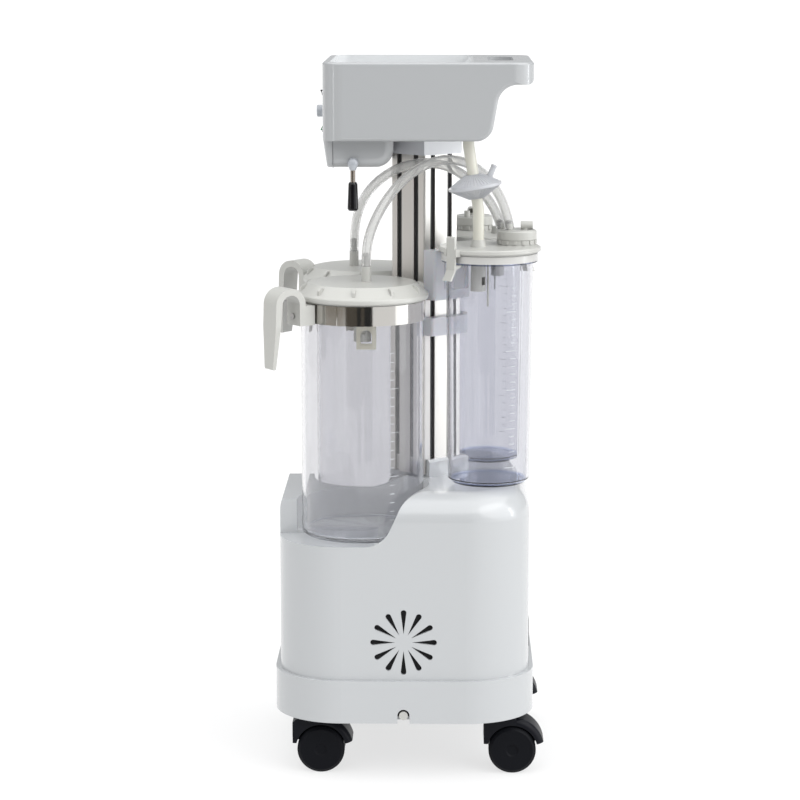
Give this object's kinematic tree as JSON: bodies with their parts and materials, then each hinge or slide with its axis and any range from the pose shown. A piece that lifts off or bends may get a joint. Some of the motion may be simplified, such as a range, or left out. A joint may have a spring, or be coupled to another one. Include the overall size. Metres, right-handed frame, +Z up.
{
  "type": "suction pump",
  "caption": "Castor-mounted medical suction unit: moulded pump base, aluminium column, clear collection jars with hooked handles, lidded overflow jars, tray-topped control housing.",
  "frame": {"origin": "on the floor below the centre of the base", "axes": "+Z up along the column, -X the front with the gauge and switches, +Y the left-hand jar pair seen from behind the controls"},
  "size_m": [0.3496, 0.3502, 0.893],
  "materials": {
    "shell_white": "glossy moulded white",
    "plate_grey": "satin grey",
    "filter_foam": "open black foam",
    "castor_black": "satin black nylon",
    "steel": "brushed",
    "cast_alloy": "die cast, satin",
    "motor_enamel": "satin black",
    "pad_rubber": "matte",
    "socket_black": "fine grain",
    "column_silver": "satin anodised",
    "bracket_grey": "smooth, slightly translucent",
    "lid_white": "smooth off-white",
    "panel_grey": "fine grain",
    "dial_white": "printed dial in a smooth case",
    "needle_black": "matte",
    "lens_clear": "clear, smooth",
    "knob_grey": "smooth",
    "rocker_black": "smooth",
    "rocker_green": "smooth, translucent",
    "boss_dark": "fine grain",
    "stem_metal": "polished",
    "grip_black": "smooth",
    "jar_clear": "clear polycarbonate",
    "band_steel": "polished stainless",
    "float_white": "smooth",
    "gasket_white": "silicone",
    "screw_steel": "plated",
    "filter_clear": "translucent, fine ribs",
    "hose_cream": "silicone, translucent",
    "hose_clear": "clear soft tubing"
  },
  "bodies": {
    "frame": {"base_shell": "shell_white", "base_plate": "plate_grey", "vent_filters": "filter_foam", "skirt_plugs": "lid_white", "castor_stems": "steel", "pump_motor": "motor_enamel", "pump_heads": "cast_alloy", "pump_feet": "pad_rubber", "power_inlet": "socket_black", "column_profile": "column_silver", "column_foot": "cast_alloy", "column_collar": "shell_white", "jar_brackets": "bracket_grey", "top_housing": "shell_white", "front_panel": "panel_grey", "control_box": "shell_white", "gauge_case": "dial_white", "gauge_lens": "lens_clear", "air_fittings": "lid_white", "switch_frames": "socket_black", "lever_boss": "boss_dark", "clamp_bands": "band_steel", "jar_handles": "lid_white", "small_lid_caps": "lid_white", "float_cages": "lid_white", "lid_gaskets": "gasket_white", "screws": "screw_steel", "disc_filter": "filter_clear", "filter_hoses": "hose_cream", "large_jar_right": "jar_clear", "large_lid_right": "lid_white", "small_jar_right": "jar_clear", "small_lid_right": "lid_white", "clear_hose_right": "hose_clear", "large_jar_left": "jar_clear", "large_lid_left": "lid_white", "small_jar_left": "jar_clear", "small_lid_left": "lid_white", "clear_hose_left": "hose_clear"},
    "castor_front_right": {"castor_hood_front_right": "castor_black"},
    "castor_wheel_front_right": {"castor_wheels_front_right": "castor_black"},
    "castor_front_left": {"castor_hood_front_left": "castor_black"},
    "castor_wheel_front_left": {"castor_wheels_front_left": "castor_black"},
    "castor_rear_right": {"castor_hood_rear_right": "castor_black"},
    "castor_wheel_rear_right": {"castor_wheels_rear_right": "castor_black"},
    "castor_rear_left": {"castor_hood_rear_left": "castor_black"},
    "castor_wheel_rear_left": {"castor_wheels_rear_left": "castor_black"},
    "rotor": {"pump_rotor": "steel"},
    "regulator": {"regulator_knob": "knob_grey"},
    "needle": {"gauge_needle": "needle_black"},
    "power_switch": {"power_rocker": "rocker_green"},
    "mode_switch": {"mode_rocker": "rocker_black"},
    "lever": {"lever_stem": "stem_metal", "lever_grip": "grip_black"},
    "latch_right_front": {"latch_right_front": "bracket_grey"},
    "latch_right_rear": {"latch_right_rear": "bracket_grey"},
    "latch_left_front": {"latch_left_front": "bracket_grey"},
    "latch_left_rear": {"latch_left_rear": "bracket_grey"},
    "float_right": {"large_float_right": "float_white"},
    "float_left": {"large_float_left": "float_white"}
  },
  "joints": [
    {"name": "castor_swivel_front_right", "type": "hinge", "parent": "frame", "child": "castor_front_right", "pos_m": [-0.121, -0.114, 0.075], "axis": [0, 0, 1], "continuous": true},
    {"name": "castor_roll_front_right", "type": "hinge", "parent": "castor_front_right", "child": "castor_wheel_front_right", "pos_m": [-0.105, -0.114, 0.03], "axis": [0, 1, 0], "continuous": true},
    {"name": "castor_swivel_front_left", "type": "hinge", "parent": "frame", "child": "castor_front_left", "pos_m": [-0.121, 0.114, 0.075], "axis": [0, 0, 1], "continuous": true},
    {"name": "castor_roll_front_left", "type": "hinge", "parent": "castor_front_left", "child": "castor_wheel_front_left", "pos_m": [-0.105, 0.114, 0.03], "axis": [0, 1, 0], "continuous": true},
    {"name": "castor_swivel_rear_right", "type": "hinge", "parent": "frame", "child": "castor_rear_right", "pos_m": [0.121, -0.114, 0.075], "axis": [0, 0, 1], "continuous": true},
    {"name": "castor_roll_rear_right", "type": "hinge", "parent": "castor_rear_right", "child": "castor_wheel_rear_right", "pos_m": [0.137, -0.114, 0.03], "axis": [0, 1, 0], "continuous": true},
    {"name": "castor_swivel_rear_left", "type": "hinge", "parent": "frame", "child": "castor_rear_left", "pos_m": [0.121, 0.114, 0.075], "axis": [0, 0, 1], "continuous": true},
    {"name": "castor_roll_rear_left", "type": "hinge", "parent": "castor_rear_left", "child": "castor_wheel_rear_left", "pos_m": [0.137, 0.114, 0.03], "axis": [0, 1, 0], "continuous": true},
    {"name": "motor_spin", "type": "hinge", "parent": "frame", "child": "rotor", "pos_m": [-0.072, 0, 0.152], "axis": [0, 1, 0], "continuous": true},
    {"name": "regulator_turn", "type": "hinge", "parent": "frame", "child": "regulator", "pos_m": [-0.101, -0.014, 0.828], "axis": [1, 0, 0], "range_deg": [0, 300]},
    {"name": "gauge_needle_swing", "type": "hinge", "parent": "frame", "child": "needle", "pos_m": [-0.096, 0.046, 0.8315], "axis": [-1, 0, 0], "range_deg": [0, 270], "stiffness_Nm_per_rad": 0.0002},
    {"name": "power_rocker_tip", "type": "hinge", "parent": "frame", "child": "power_switch", "pos_m": [-0.099, -0.06, 0.817], "axis": [0, -1, 0], "range_deg": [0, 15]},
    {"name": "mode_rocker_tip", "type": "hinge", "parent": "frame", "child": "mode_switch", "pos_m": [-0.099, -0.06, 0.847], "axis": [0, 1, 0], "range_deg": [0, 15]},
    {"name": "lever_throw", "type": "hinge", "parent": "frame", "child": "lever", "pos_m": [-0.0635, -0.108, 0.769], "axis": [0, 1, 0], "range_deg": [-25, 25]},
    {"name": "latch_open_right_front", "type": "hinge", "parent": "frame", "child": "latch_right_front", "pos_m": [0.058, -0.1295, 0.66], "axis": [-0.7071, 0.7071, 0], "range_deg": [0, 10]},
    {"name": "latch_open_right_rear", "type": "hinge", "parent": "frame", "child": "latch_right_rear", "pos_m": [0.1535, -0.034, 0.66], "axis": [0.7071, -0.7071, 0], "range_deg": [0, 10]},
    {"name": "latch_open_left_front", "type": "hinge", "parent": "frame", "child": "latch_left_front", "pos_m": [0.058, 0.1295, 0.66], "axis": [0.7071, 0.7071, 0], "range_deg": [0, 10]},
    {"name": "latch_open_left_rear", "type": "hinge", "parent": "frame", "child": "latch_left_rear", "pos_m": [0.1535, 0.034, 0.66], "axis": [-0.7071, -0.7071, 0], "range_deg": [0, 10]},
    {"name": "float_rise_right", "type": "slide", "parent": "frame", "child": "float_right", "axis": [0, 0, 1], "range_m": [0, 0.012]},
    {"name": "float_rise_left", "type": "slide", "parent": "frame", "child": "float_left", "axis": [0, 0, 1], "range_m": [0, 0.012]}
  ]
}
